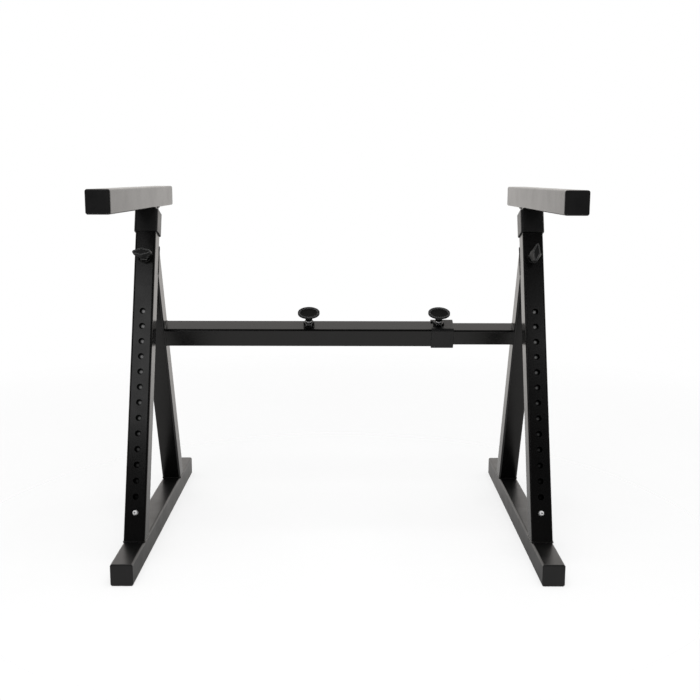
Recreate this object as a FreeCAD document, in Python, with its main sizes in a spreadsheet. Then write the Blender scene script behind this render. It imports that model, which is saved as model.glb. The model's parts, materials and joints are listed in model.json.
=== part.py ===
import FreeCAD, Part
import math
import os
import re
import Sketcher

# Z-style keyboard stand: two side frames that telescope upwards, joined by a crossbar that telescopes
# sideways. The origin is on the floor at the middle of the stand, +Z is up, -Y is the front and +X the
# player's right. Lengths are in millimetres and angles in degrees.

SIZES = {
    # Overall sizes
    "stand_width": 695,  # over the outer sides of the two feet
    "stand_height": 600,  # floor to the top of the support arms, at the lowest setting
    "foot_length": 593,  # over its two end plugs
    "arm_length": 500,  # over its two end plugs
    "front_overhang": 56,  # how far the arms reach in front of the feet
    # Square tubes: the outer one, and the slider that runs inside it
    "tube_side": 35,
    "tube_wall": 1.5,
    "tube_corner": 3.5,
    "slider_side": 30,
    "slider_wall": 1.5,
    "slider_corner": 3,
    # Side frame
    "upright_setback": 94.5,  # foot's front to the upright's front face, at the foot's top
    "upright_lean": 19.7,
    "strut_setback": 464.9,  # foot's front to the strut's centre line, at the foot's top
    "strut_below_top": 79.8,  # upright's top to the strut's centre line, down the upright's rear
    # Row of snap holes up the front of the upright
    "hole_diameter": 10.4,
    "hole_pitch": 25.75,
    "first_hole": 41,  # lowest hole, along the upright from the foot's top
    "holes_below_clamp": 90,  # the row stops short of the clamp by this or a little more
    # Plastic end plugs
    "plug_flange": 5,
    "plug_round": 2,
    "plug_depth": 18,
    "plug_wall": 2,
    "plug_clearance": 0.1,
    # Plastic collars
    "collar_side": 40,
    "collar_corner": 5,
    "collar_length": 40,
    "collar_lip": 3,
    "collar_edge": 0.8,
    "collar_clearance": 0.1,
    "lip_clearance": 0.3,
    "arm_clearance": 1,  # collar's highest edge to the arm above it
    # Inner post and its glide
    "post_below_button": 26,
    "glide_flange": 5,
    "glide_depth": 14,
    "glide_wall": 2,
    "glide_clearance": 0.3,
    # Snap button and its leaf spring
    "button_diameter": 9,
    "button_clearance": 0.2,
    "button_proud": 4,
    "button_round": 2,
    "button_flange": 1.5,
    "button_flange_diameter": 13,
    "leaf_width": 11,
    "leaf_thickness": 0.8,
    "leaf_below": 8,  # the leaf's ends, under the button's centre
    "leaf_straight": 9,  # the leaf's bend behind the button, over its centre
    "leaf_above": 44,  # the leaf's closed end, over the button's centre
    "leaf_bend": 5,  # half the breadth of the closed end
    # Clamp screws, their nuts and soft tips
    "screw_diameter": 10,
    "screw_clearance": 0.08,
    "screw_hole_gap": 0.4,
    "screw_in_knob": 12,
    "nut_flats": 17,
    "nut_height": 8,
    "nut_chamfer": 0.8,
    "nut_gap": 0.5,  # round the nut, where it comes through the crossbar's collar
    "knob_gap": 2.5,  # nut to knob, when tightened
    "tip_diameter": 8,
    "tip_height": 2,
    "tip_stem": 4,
    "tip_stem_diameter": 6,
    "tip_clearance": 0.3,
    # Lozenge knobs on the uprights
    "clamp_below_top": 81.2,  # upright's top to the clamp's centre, along the upright
    "wing_length": 31,
    "wing_width": 19,
    "wing_nose": 3,  # radius of the lozenge's long ends
    "wing_waist": 5,  # radius of its short ends
    "wing_thickness": 12,
    "wing_rim": 2.4,
    "wing_recess": 1.8,
    "wing_edge": 1,
    "hub_diameter": 16,
    "hub_length": 8,
    "left_knob_turn": 3,
    "right_knob_turn": 80.5,
    # Crossbar
    "crossbar_height": 338,  # floor to its centre line
    "inner_tube_shown": 111,  # from the outer tube's open end to the right strut
    "inner_tube_length": 400,
    "clamp_a_setback": 256.5,  # from the outer tube's open end
    "clamp_b_setback": 23.5,
    # Mushroom knobs on the crossbar
    "cap_diameter": 39,
    "cap_thickness": 3.2,
    "cap_rim": 3.2,
    "cap_dish": 1.4,
    "cap_edge": 1.1,
    "neck_diameter": 12.5,
    "neck_length": 9,
    "neck_flare": 4,
    "neck_round": 3,
    # Room that a cut runs past the face it leaves by
    "cut_overrun": 2,
}

# Places worked out from the sizes
SIDE_X = "((stand_width - tube_side) / 2)"
STRUT_INNER_X = "(stand_width / 2 - tube_side)"
FOOT_FRONT = "((front_overhang - foot_length) / 2)"
ARM_FRONT = "(-(foot_length + front_overhang) / 2)"
UPRIGHT_Y = f"({FOOT_FRONT} + upright_setback + tube_side / 2 / cos(upright_lean))"
POST_BOTTOM = "(first_hole - post_below_button)"
POST_TOP = "((stand_height - 2 * tube_side) / cos(upright_lean))"
COLLAR_TOP = f"({POST_TOP} - arm_clearance / cos(upright_lean) - collar_side / 2 * tan(upright_lean))"
UPRIGHT_TOP = f"({COLLAR_TOP} - collar_lip)"
HEIGHT_CLAMP = f"({UPRIGHT_TOP} - clamp_below_top)"
HOLE_COUNT = f"(1 + floor(({HEIGHT_CLAMP} - holes_below_clamp - first_hole) / hole_pitch))"
# Where the strut's centre line meets the upright's rear: along the upright, over the foot's top, and in depth
STRUT_MEET = f"({UPRIGHT_TOP} - strut_below_top)"
STRUT_RISE = f"({STRUT_MEET} * cos(upright_lean) - tube_side / 2 * sin(upright_lean))"
STRUT_MEET_Y = f"({UPRIGHT_Y} + {STRUT_MEET} * sin(upright_lean) + tube_side / 2 * cos(upright_lean))"
STRUT_Y = f"({FOOT_FRONT} + strut_setback)"
STRUT_LEAN = f"(atan(({STRUT_Y} - {STRUT_MEET_Y}) / {STRUT_RISE}) / 1 deg)"
STRUT_TOP = f"({STRUT_RISE} / cos({STRUT_LEAN}))"
CROSSBAR_Y = f"({STRUT_Y} - (crossbar_height - tube_side) * tan({STRUT_LEAN}))"
OUTER_END_X = f"({STRUT_INNER_X} - inner_tube_shown)"
OUTER_LENGTH = f"({OUTER_END_X} + {STRUT_INNER_X})"
INNER_END_X = f"({STRUT_INNER_X} - inner_tube_length)"
TUBE_BORE = "(tube_side - 2 * tube_wall)"
POST_BORE = "(slider_side - 2 * slider_wall)"
TIP_FOOT = "(slider_side / 2 + tip_clearance)"
SCREW_FOOT = f"({TIP_FOOT} + tip_height)"
KNOB_FOOT = "(tube_side / 2 + nut_height + knob_gap)"
WING_BACK = f"({KNOB_FOOT} + hub_length)"
WING_FRONT = f"({WING_BACK} + wing_thickness)"

X_AXIS = FreeCAD.Vector(1, 0, 0)
Z_AXIS = FreeCAD.Vector(0, 0, 1)
SAME_PLACE = 1e-6
SIDES = {"left": -1, "right": 1}

# Document and its sheet of sizes
doc = FreeCAD.newDocument("keyboard_stand")
sheet = doc.addObject("Spreadsheet::Sheet", "Sizes")
for row, (name, size) in enumerate(SIZES.items(), start=1):
    sheet.set(f"A{row}", name)
    sheet.set(f"B{row}", str(size))
    sheet.setAlias(f"B{row}", name)
doc.recompute()
SIZE_WORDS = re.compile(r"\b(" + "|".join(SIZES) + r")\b")
nodes = []


# Expressions in the sheet's sizes
def in_sheet(text):
    """The text with each size's name pointing at its cell."""
    return SIZE_WORDS.sub(r"Sizes.\1", text)


def value(text):
    """The number that an expression gives now."""
    return float(sheet.evalExpression(in_sheet(text)))


def bind(thing, prop, text):
    """Tie a property to an expression."""
    thing.setExpression(prop, in_sheet(text))


# Bodies and their places
def new_body(label):
    body = doc.addObject("PartDesign::Body", label)
    body.Label = label
    nodes.append(body)
    return body


def place(body, x, y, z, turn="0"):
    """Put a body's own origin at x, y, z, turned about the X axis."""
    body.Placement = FreeCAD.Placement(FreeCAD.Vector(), FreeCAD.Rotation(X_AXIS, value(turn)))
    bind(body, "Placement.Base.x", x)
    bind(body, "Placement.Base.y", y)
    bind(body, "Placement.Base.z", z)
    bind(body, "Placement.Rotation.Angle", turn)


def place_on_upright(body, side, along="0"):
    """On the upright's centre line, up it from the foot's top; local Z is along it, -Y its front."""
    y = f"{UPRIGHT_Y} + {along} * sin(upright_lean)"
    z = f"tube_side + {along} * cos(upright_lean)"
    place(body, f"{side} * {SIDE_X}", y, z, "-upright_lean")


def place_on_crossbar(body, x):
    """On the crossbar's centre line; local X is along it and local Z square to its upper face."""
    place(body, x, CROSSBAR_Y, "crossbar_height", STRUT_LEAN)


# Sketches and the closed outlines in them
def sketch_on(body, plane, across="0", along="0", lift="0", turn="0"):
    """A sketch on one of the body's own planes, moved in it, lifted off it and turned in it."""
    sketch = body.newObject("Sketcher::SketchObject", f"{body.Label}_sketch")
    support = next(item for item in body.Origin.OriginFeatures if item.Role == plane)
    sketch.AttachmentSupport = [(support, "")]
    sketch.MapMode = "FlatFace"
    sketch.AttachmentOffset = FreeCAD.Placement(
        FreeCAD.Vector(), FreeCAD.Rotation(Z_AXIS, value(turn))
    )
    bind(sketch, "AttachmentOffset.Base.x", across)
    bind(sketch, "AttachmentOffset.Base.y", along)
    bind(sketch, "AttachmentOffset.Base.z", lift)
    bind(sketch, "AttachmentOffset.Rotation.Angle", turn)
    return sketch


def constrain(sketch, kind, *where):
    sketch.addConstraint(Sketcher.Constraint(kind, *where))


def dimension(sketch, kind, *where, size):
    """A constraint whose value is tied to an expression."""
    index = sketch.addConstraint(Sketcher.Constraint(kind, *where, value(size)))
    bind(sketch, f"Constraints[{index}]", size)


def line(sketch, start, end):
    return sketch.addGeometry(Part.LineSegment(FreeCAD.Vector(*start), FreeCAD.Vector(*end)))


def arc(sketch, centre, radius, begin, end):
    """A circle's stretch between two angles, anticlockwise."""
    ring = Part.Circle(FreeCAD.Vector(*centre), Z_AXIS, radius)
    return sketch.addGeometry(Part.ArcOfCircle(ring, math.radians(begin), math.radians(end)))


def circle(sketch, diameter):
    """A circle about the sketch's origin."""
    index = sketch.addGeometry(Part.Circle(FreeCAD.Vector(), Z_AXIS, value(diameter) / 2))
    constrain(sketch, "Coincident", index, 3, -1, 1)
    dimension(sketch, "Diameter", index, size=diameter)


def polygon(sketch, points):
    """Straight sides through points, each given by two expressions."""
    corners = [(value(across), value(up)) for across, up in points]
    sides = [line(sketch, corners[index - 1], corner) for index, corner in enumerate(corners)]
    for index, side in enumerate(sides):
        across, up = points[index]
        constrain(sketch, "Coincident", side, 2, sides[(index + 1) % len(sides)], 1)
        dimension(sketch, "DistanceX", -1, 1, side, 2, size=across)
        dimension(sketch, "DistanceY", -1, 1, side, 2, size=up)


def rounded_square(sketch, side, radius):
    """A square about the sketch's origin, with its corners rounded."""
    half = value(side) / 2
    bend = value(radius)
    flat = half - bend
    lines = []
    arcs = []
    for index in range(4):
        turn = FreeCAD.Rotation(Z_AXIS, 90 * index)
        start, end, centre = (
            turn.multVec(FreeCAD.Vector(*point))
            for point in ((-flat, -half), (flat, -half), (flat, -flat))
        )
        lines.append(line(sketch, start, end))
        arcs.append(arc(sketch, centre, bend, 90 * (index - 1), 90 * index))
    for index, straight in enumerate(lines):
        constrain(sketch, "Tangent", straight, 2, arcs[index], 1)
        constrain(sketch, "Tangent", arcs[index - 1], 2, straight, 1)
        constrain(sketch, "Vertical" if index % 2 else "Horizontal", straight)
    for corner in arcs[1:]:
        constrain(sketch, "Equal", arcs[0], corner)
    constrain(sketch, "Symmetric", arcs[0], 3, arcs[2], 3, -1, 1)
    dimension(sketch, "DistanceX", lines[3], 1, lines[1], 1, size=side)
    dimension(sketch, "DistanceY", lines[0], 1, lines[2], 1, size=side)
    dimension(sketch, "Radius", arcs[0], size=radius)


def lozenge(sketch, length, width, nose, waist):
    """A long diamond about the sketch's origin, its two noses and two waists rounded."""
    nose_place = f"({length}) / 2 - ({nose})"
    waist_place = f"({width}) / 2 - ({waist})"
    reach, rise = value(nose_place), value(waist_place)
    # Direction in which the side between a nose and a waist faces
    facing = math.acos((value(waist) - value(nose)) / math.hypot(reach, rise)) - math.atan2(rise, reach)
    facing = math.degrees(facing)
    noses = [
        arc(sketch, (reach, 0), value(nose), -facing, facing),
        arc(sketch, (-reach, 0), value(nose), 180 - facing, 180 + facing),
    ]
    waists = [
        arc(sketch, (0, rise), value(waist), facing, 180 - facing),
        arc(sketch, (0, -rise), value(waist), 180 + facing, 360 - facing),
    ]
    ring = [noses[0], waists[0], noses[1], waists[1]]
    for index, first in enumerate(ring):
        second = ring[(index + 1) % len(ring)]
        start = sketch.getPoint(first, 2)
        end = sketch.getPoint(second, 1)
        straight = line(sketch, start, end)
        constrain(sketch, "Tangent", first, 2, straight, 1)
        constrain(sketch, "Tangent", straight, 2, second, 1)
    for sign, corner in zip("+-", noses):
        dimension(sketch, "DistanceX", -1, 1, corner, 3, size=f"{sign}({nose_place})")
        constrain(sketch, "PointOnObject", corner, 3, -1)
        dimension(sketch, "Radius", corner, size=nose)
    for sign, corner in zip("+-", waists):
        dimension(sketch, "DistanceY", -1, 1, corner, 3, size=f"{sign}({waist_place})")
        constrain(sketch, "PointOnObject", corner, 3, -2)
        dimension(sketch, "Radius", corner, size=waist)


# Features
def extrude(body, sketch, length, kind="Pad", back=False, both=False):
    """A pad or a pocket; back turns it round, and both runs half of it each way."""
    feature = body.newObject(f"PartDesign::{kind}", f"{body.Label}_{kind.lower()}")
    feature.Profile = sketch
    feature.Reversed = back
    feature.SideType = "Symmetric" if both else "One side"
    bind(feature, "Length", length)
    doc.recompute()
    return feature


def cut(body, sketch, length, back=False, both=False):
    """A pocket, which has to take something away."""
    before = body.Shape.Volume
    feature = extrude(body, sketch, length, "Pocket", back, both)
    if body.Shape.Volume >= before:
        raise ValueError(f"{body.Label}: a cut took nothing away")
    return feature


def revolve(body, sketch, axis):
    feature = body.newObject("PartDesign::Revolution", f"{body.Label}_turned")
    feature.Profile = sketch
    feature.ReferenceAxis = (sketch, [axis])
    doc.recompute()


def soften(body, size, chosen, kind="Fillet"):
    """Fillet or chamfer the edges whose ends all pass a test."""
    base = body.Tip
    names = [
        f"Edge{index}"
        for index, edge in enumerate(base.Shape.Edges, start=1)
        if all(chosen(vertex.Point) for vertex in edge.Vertexes)
    ]
    feature = body.newObject(f"PartDesign::{kind}", f"{body.Label}_edges")
    feature.Base = (base, names)
    bind(feature, "Radius" if kind == "Fillet" else "Size", size)
    doc.recompute()


def same(first, text):
    """Whether a coordinate is where an expression puts it."""
    return abs(first - value(text)) < SAME_PLACE


# Pieces that are used more than once
def square_tube(label, plane, side, wall, corner, length, lift="0", both=False):
    body = new_body(label)
    sketch = sketch_on(body, plane, lift=lift)
    rounded_square(sketch, side, corner)
    rounded_square(sketch, f"({side} - 2 * {wall})", f"({corner} - {wall})")
    extrude(body, sketch, length, both=both)
    return body


def mitre(body, side, middle, slope, at_top):
    """Cut a tube's top or bottom end along a slope, the rise over Y, through a point of its middle."""
    half = f"({side} / 2 + cut_overrun)"
    rise = f"{half} * ({slope})"
    way_out = "+" if at_top else "-"
    waste_side = "-" if at_top == (value(slope) > 0) else "+"
    sketch = sketch_on(body, "YZ_Plane")
    polygon(
        sketch,
        [
            (f"-{half}", f"{middle} - {rise}"),
            (half, f"{middle} + {rise}"),
            (f"{waste_side}{half}", f"{middle} {way_out} abs({rise})"),
        ],
    )
    cut(body, sketch, f"{side} + 2 * cut_overrun", both=True)


def end_plug(label, plane, side, wall, corner, outward):
    """A flange flush with the tube and a hollow insert in its bore; outward is the flange's way out."""
    body = new_body(label)
    flange = sketch_on(body, plane)
    rounded_square(flange, side, corner)
    against_normal = plane == "YZ_Plane"
    extrude(body, flange, "plug_flange", back=against_normal)
    outer = FreeCAD.Vector(*outward)
    soften(body, "plug_round", lambda point: same(point.dot(outer), "plug_flange"))
    insert = sketch_on(body, plane)
    bore = f"({side} - 2 * {wall} - 2 * plug_clearance)"
    rounded_square(insert, bore, f"({corner} - {wall})")
    rounded_square(insert, f"({bore} - 2 * plug_wall)", f"({corner} - {wall}) / 2")
    extrude(body, insert, "plug_depth", back=not against_normal)
    return body


def collar(label, plane):
    """A sleeve over a tube's end, from the end back, and a lip past the end that guides the slider."""
    body = new_body(label)
    lip = sketch_on(body, plane)
    rounded_square(lip, "collar_side", "collar_corner")
    rounded_square(lip, "(slider_side + 2 * lip_clearance)", "(slider_corner + lip_clearance)")
    extrude(body, lip, "collar_lip")
    sleeve = sketch_on(body, plane)
    rounded_square(sleeve, "collar_side", "collar_corner")
    rounded_square(sleeve, "(tube_side + 2 * collar_clearance)", "(tube_corner + collar_clearance)")
    extrude(body, sleeve, "collar_length - collar_lip", back=True)

    def on_outer_rim(point):
        along, *across = (point.z, point.x, point.y) if plane == "XY_Plane" else (point.x, point.y, point.z)
        at_end = same(along, "collar_lip") or same(along, "collar_lip - collar_length")
        return at_end and same(max(map(abs, across)), "collar_side / 2")

    soften(body, "collar_edge", on_outer_rim)
    return body


def clamp_nut(label, plane):
    """A hexagon nut that stands on a tube's face, its thread shown as a plain bore."""
    body = new_body(label)
    sketch = sketch_on(body, plane, lift="tube_side / 2")
    radius = "nut_flats / sqrt(3)"
    polygon(sketch, [(f"{radius} * cos({60 * i})", f"{radius} * sin({60 * i})") for i in range(6)])
    circle(sketch, "screw_diameter + 2 * screw_clearance")
    extrude(body, sketch, "nut_height")
    outer = FreeCAD.Vector(0, -1, 0) if plane == "XZ_Plane" else Z_AXIS

    def on_top_corner(point):
        off_axis = (point - outer * point.dot(outer)).Length
        return same(point.dot(outer), "tube_side / 2 + nut_height") and same(off_axis, radius)

    soften(body, "nut_chamfer", on_top_corner, "Chamfer")
    return body


def clamp_screw(label, plane):
    """From the soft tip, through tube and nut, into the knob."""
    body = new_body(label)
    shank = sketch_on(body, plane, lift=SCREW_FOOT)
    circle(shank, "screw_diameter")
    extrude(body, shank, f"{KNOB_FOOT} + screw_in_knob - {SCREW_FOOT}")
    socket = sketch_on(body, plane, lift=SCREW_FOOT)
    circle(socket, "tip_stem_diameter + 2 * screw_clearance")
    cut(body, socket, "tip_stem", back=True)
    return body


def clamp_tip(label, plane):
    """A soft pad that presses on the slider, its stem held in the screw's end."""
    body = new_body(label)
    pad = sketch_on(body, plane, lift=TIP_FOOT)
    circle(pad, "tip_diameter")
    extrude(body, pad, "tip_height")
    stem = sketch_on(body, plane, lift=SCREW_FOOT)
    circle(stem, "tip_stem_diameter")
    extrude(body, stem, "tip_stem")
    return body


def screw_bore(body, plane):
    """The blind bore in a knob that holds its screw."""
    sketch = sketch_on(body, plane, lift=KNOB_FOOT)
    circle(sketch, "screw_diameter + 2 * screw_clearance")
    cut(body, sketch, "screw_in_knob", back=True)


def wing_knob(label, turn):
    """A lozenge head with a raised rim, on a round hub."""
    body = new_body(label)
    hub = sketch_on(body, "XZ_Plane", lift=KNOB_FOOT)
    circle(hub, "hub_diameter")
    extrude(body, hub, "hub_length")
    head = sketch_on(body, "XZ_Plane", lift=WING_BACK, turn=turn)
    lozenge(head, "wing_length", "wing_width", "wing_nose", "wing_waist")
    extrude(body, head, "wing_thickness")
    soften(body, "wing_edge", lambda point: same(-point.y, WING_FRONT))
    recess = sketch_on(body, "XZ_Plane", lift=WING_FRONT, turn=turn)
    lozenge(
        recess,
        "wing_length - 2 * wing_rim",
        "wing_width - 2 * wing_rim",
        "wing_nose - wing_rim",
        "wing_waist - wing_rim",
    )
    cut(body, recess, "wing_recess")
    screw_bore(body, "XZ_Plane")
    return body


def mushroom_knob(label):
    """A round cap with a raised rim, flaring out of a neck."""
    body = new_body(label)
    neck_top = f"({KNOB_FOOT} + neck_length)"
    cap_bottom = f"({neck_top} + neck_flare)"
    cap_top = f"({cap_bottom} + cap_thickness)"
    dish_radius = "(cap_diameter / 2 - cap_rim)"
    dish = f"({cap_top} - cap_dish)"
    profile = sketch_on(body, "XZ_Plane")
    polygon(
        profile,
        [
            ("0", KNOB_FOOT),
            ("neck_diameter / 2", KNOB_FOOT),
            ("neck_diameter / 2", neck_top),
            ("cap_diameter / 2", cap_bottom),
            ("cap_diameter / 2", cap_top),
            (dish_radius, cap_top),
            (f"{dish_radius} - cap_dish", dish),
            ("0", dish),
        ],
    )
    revolve(body, profile, "V_Axis")
    soften(body, "cap_edge", lambda point: same(math.hypot(point.x, point.y), "cap_diameter / 2"))
    soften(body, "neck_round", lambda point: same(point.z, neck_top))
    screw_bore(body, "XY_Plane")
    return body


# Pieces of one side of the stand
def make_foot(side_name, side):
    tube = square_tube(
        f"{side_name}_foot_tube", "XZ_Plane", "tube_side", "tube_wall", "tube_corner",
        "foot_length - 2 * plug_flange", both=True,
    )
    x = f"{side} * {SIDE_X}"
    z = "tube_side / 2"
    place(tube, x, f"{FOOT_FRONT} + foot_length / 2", z)
    make_end_plugs(f"{side_name}_foot", x, FOOT_FRONT, "foot_length", z)


def make_end_plugs(label, x, front, length, z):
    """The plugs in the front and rear ends of a tube that runs front to back."""
    ends = {"front": (f"{front} + plug_flange", "0"), "rear": (f"{front} + {length} - plug_flange", "180")}
    for end, (y, turn) in ends.items():
        plug = end_plug(
            f"{label}_{end}_cap", "XZ_Plane", "tube_side", "tube_wall", "tube_corner", (0, -1, 0)
        )
        place(plug, x, y, z, turn)


def make_upright(side_name, side):
    slope = "tan(upright_lean)"
    tube = square_tube(
        f"{side_name}_upright_tube", "XY_Plane", "tube_side", "tube_wall", "tube_corner",
        f"{UPRIGHT_TOP} + tube_side / 2 * {slope}", lift=f"-tube_side / 2 * {slope}",
    )
    mitre(tube, "tube_side", "0", slope, at_top=False)
    clamp_hole = sketch_on(tube, "XZ_Plane", along=HEIGHT_CLAMP)
    circle(clamp_hole, "screw_diameter + 2 * screw_hole_gap")
    cut(tube, clamp_hole, "tube_side", back=True)
    snap_hole = sketch_on(tube, "XZ_Plane", along="first_hole")
    circle(snap_hole, "hole_diameter")
    first = cut(tube, snap_hole, "tube_side", back=True)
    row = tube.newObject("PartDesign::LinearPattern", f"{tube.Label}_hole_row")
    row.Originals = [first]
    along = next(item for item in tube.Origin.OriginFeatures if item.Role == "Z_Axis")
    row.Direction = (along, [""])
    bind(row, "Length", f"hole_pitch * ({HOLE_COUNT} - 1)")
    bind(row, "Occurrences", HOLE_COUNT)
    tube.Tip = row
    place_on_upright(tube, side)


def make_strut(side_name, side):
    bottom_slope = f"-tan({STRUT_LEAN})"
    top_slope = f"1 / tan(upright_lean + {STRUT_LEAN})"
    below = f"tube_side / 2 * tan({STRUT_LEAN})"
    tube = square_tube(
        f"{side_name}_rear_strut", "XY_Plane", "tube_side", "tube_wall", "tube_corner",
        f"{below} + {STRUT_TOP} + tube_side / 2 * {top_slope}", lift=f"-({below})",
    )
    mitre(tube, "tube_side", "0", bottom_slope, at_top=False)
    mitre(tube, "tube_side", STRUT_TOP, top_slope, at_top=True)
    place(tube, f"{side} * {SIDE_X}", STRUT_Y, "tube_side", STRUT_LEAN)


def make_height_clamp(side_name, side):
    place_on_upright(collar(f"{side_name}_post_collar", "XY_Plane"), side, UPRIGHT_TOP)
    for piece in (
        clamp_nut(f"{side_name}_clamp_nut", "XZ_Plane"),
        clamp_screw(f"{side_name}_height_screw", "XZ_Plane"),
        clamp_tip(f"{side_name}_screw_tip", "XZ_Plane"),
        wing_knob(f"{side_name}_height_knob", f"{side_name}_knob_turn"),
    ):
        place_on_upright(piece, side, HEIGHT_CLAMP)


def make_inner_post(side_name, side):
    slope = "tan(upright_lean)"
    post = square_tube(
        f"{side_name}_inner_post", "XY_Plane", "slider_side", "slider_wall", "slider_corner",
        f"{POST_TOP} + slider_side / 2 * {slope} - {POST_BOTTOM}", lift=POST_BOTTOM,
    )
    mitre(post, "slider_side", POST_TOP, slope, at_top=True)
    button_hole = sketch_on(post, "XZ_Plane", along="first_hole")
    circle(button_hole, "button_diameter + 2 * button_clearance")
    cut(post, button_hole, "slider_side", back=True)
    place_on_upright(post, side)

    glide = new_body(f"{side_name}_post_glide")
    flange = sketch_on(glide, "XY_Plane")
    rounded_square(flange, f"{TUBE_BORE} - 2 * glide_clearance", "tube_corner - tube_wall")
    extrude(glide, flange, "glide_flange", back=True)
    insert = sketch_on(glide, "XY_Plane")
    rounded_square(insert, f"{POST_BORE} - 2 * plug_clearance", "slider_corner - slider_wall")
    rounded_square(
        insert, f"{POST_BORE} - 2 * plug_clearance - 2 * glide_wall", "(slider_corner - slider_wall) / 2"
    )
    extrude(glide, insert, "glide_depth")
    place_on_upright(glide, side, POST_BOTTOM)


def make_snap_lock(side_name, side):
    flange_front = f"(-{POST_BORE} / 2)"
    flange_back = f"({flange_front} + button_flange)"
    button_tip = "(-tube_side / 2 - button_proud)"
    button = new_body(f"{side_name}_snap_button")
    profile = sketch_on(button, "YZ_Plane")
    polygon(
        profile,
        [
            (flange_back, "0"),
            (flange_back, "button_flange_diameter / 2"),
            (flange_front, "button_flange_diameter / 2"),
            (flange_front, "button_diameter / 2"),
            (button_tip, "button_diameter / 2"),
            (button_tip, "0"),
        ],
    )
    revolve(button, profile, "H_Axis")
    soften(button, "button_round", lambda point: same(point.y, button_tip))
    place_on_upright(button, side, "first_hole")

    leaf = new_body(f"{side_name}_snap_spring")
    outline = sketch_on(leaf, "YZ_Plane")
    rear = f"({POST_BORE} / 2)"
    inside = "leaf_above - leaf_thickness"
    polygon(
        outline,
        [
            (flange_back, "-leaf_below"),
            (flange_back, "leaf_straight"),
            ("-leaf_bend", "leaf_above"),
            ("leaf_bend", "leaf_above"),
            (rear, "-leaf_below"),
            (f"{rear} - leaf_thickness", "-leaf_below"),
            ("leaf_bend - leaf_thickness", inside),
            ("leaf_thickness - leaf_bend", inside),
            (f"{flange_back} + leaf_thickness", "leaf_straight"),
            (f"{flange_back} + leaf_thickness", "-leaf_below"),
        ],
    )
    extrude(leaf, outline, "leaf_width", both=True)
    place_on_upright(leaf, side, "first_hole")


def make_support_arm(side_name, side):
    tube = square_tube(
        f"{side_name}_support_arm", "XZ_Plane", "tube_side", "tube_wall", "tube_corner",
        "arm_length - 2 * plug_flange", both=True,
    )
    x = f"{side} * {SIDE_X}"
    z = "stand_height - tube_side / 2"
    place(tube, x, f"{ARM_FRONT} + arm_length / 2", z)
    make_end_plugs(f"{side_name}_arm", x, ARM_FRONT, "arm_length", z)


# Crossbar
def make_crossbar():
    outer = square_tube(
        "crossbar_outer_tube", "YZ_Plane", "tube_side", "tube_wall", "tube_corner", OUTER_LENGTH
    )
    setbacks = {"a": "clamp_a_setback", "b": "clamp_b_setback"}
    for setback in setbacks.values():
        hole = sketch_on(outer, "XY_Plane", across=f"{OUTER_LENGTH} - {setback}")
        circle(hole, "screw_diameter + 2 * screw_hole_gap")
        cut(outer, hole, "tube_side", back=True)
    place_on_crossbar(outer, f"-{STRUT_INNER_X}")

    inner = square_tube(
        "crossbar_inner_tube", "YZ_Plane", "slider_side", "slider_wall", "slider_corner",
        "inner_tube_length",
    )
    place_on_crossbar(inner, INNER_END_X)
    plug = end_plug(
        "crossbar_inner_plug", "YZ_Plane", "slider_side", "slider_wall", "slider_corner", (-1, 0, 0)
    )
    place_on_crossbar(plug, INNER_END_X)

    # The crossbar's collar has a slot with a round end, so that it slides on past the welded nut
    sleeve = collar("crossbar_collar", "YZ_Plane")
    slot_half = "(nut_flats / sqrt(3) + nut_gap)"
    slot_end = "(clamp_b_setback + collar_lip - collar_length - cut_overrun)"
    slot_nose = sketch_on(sleeve, "XY_Plane", across="-clamp_b_setback")
    circle(slot_nose, f"2 * {slot_half}")
    cut(sleeve, slot_nose, "collar_side", back=True)
    slot = sketch_on(sleeve, "XY_Plane", across="-clamp_b_setback")
    polygon(
        slot, [("0", f"-{slot_half}"), ("0", slot_half), (slot_end, slot_half), (slot_end, f"-{slot_half}")]
    )
    cut(sleeve, slot, "collar_side", back=True)
    place_on_crossbar(sleeve, OUTER_END_X)

    for letter, setback in setbacks.items():
        for piece in (
            clamp_nut(f"crossbar_clamp_nut_{letter}", "XY_Plane"),
            clamp_screw(f"crossbar_screw_{letter}", "XY_Plane"),
            clamp_tip(f"crossbar_screw_tip_{letter}", "XY_Plane"),
            mushroom_knob(f"crossbar_knob_{letter}"),
        ):
            place_on_crossbar(piece, f"{OUTER_END_X} - {setback}")


for side_name, side in SIDES.items():
    make_foot(side_name, side)
    make_upright(side_name, side)
    make_strut(side_name, side)
    make_height_clamp(side_name, side)
    make_inner_post(side_name, side)
    make_snap_lock(side_name, side)
    make_support_arm(side_name, side)
make_crossbar()
doc.recompute()

# Every object has to be sound before anything is written
for item in doc.Objects:
    if "Invalid" in item.State or "Error" in item.State:
        raise ValueError(f"{item.Label}: {item.State}")
for body in nodes:
    if body.Shape.isNull() or not body.Shape.isValid() or len(body.Shape.Solids) != 1:
        raise ValueError(f"{body.Label}: not one sound solid")
os.makedirs("parts", exist_ok=True)
for body in nodes:
    body.Shape.exportStep(f"parts/{body.Label}.step")
print(len(nodes), "pieces written")
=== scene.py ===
import json
import math
from functools import partial

import bmesh
import bpy
from mathutils import Matrix, Vector


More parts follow.
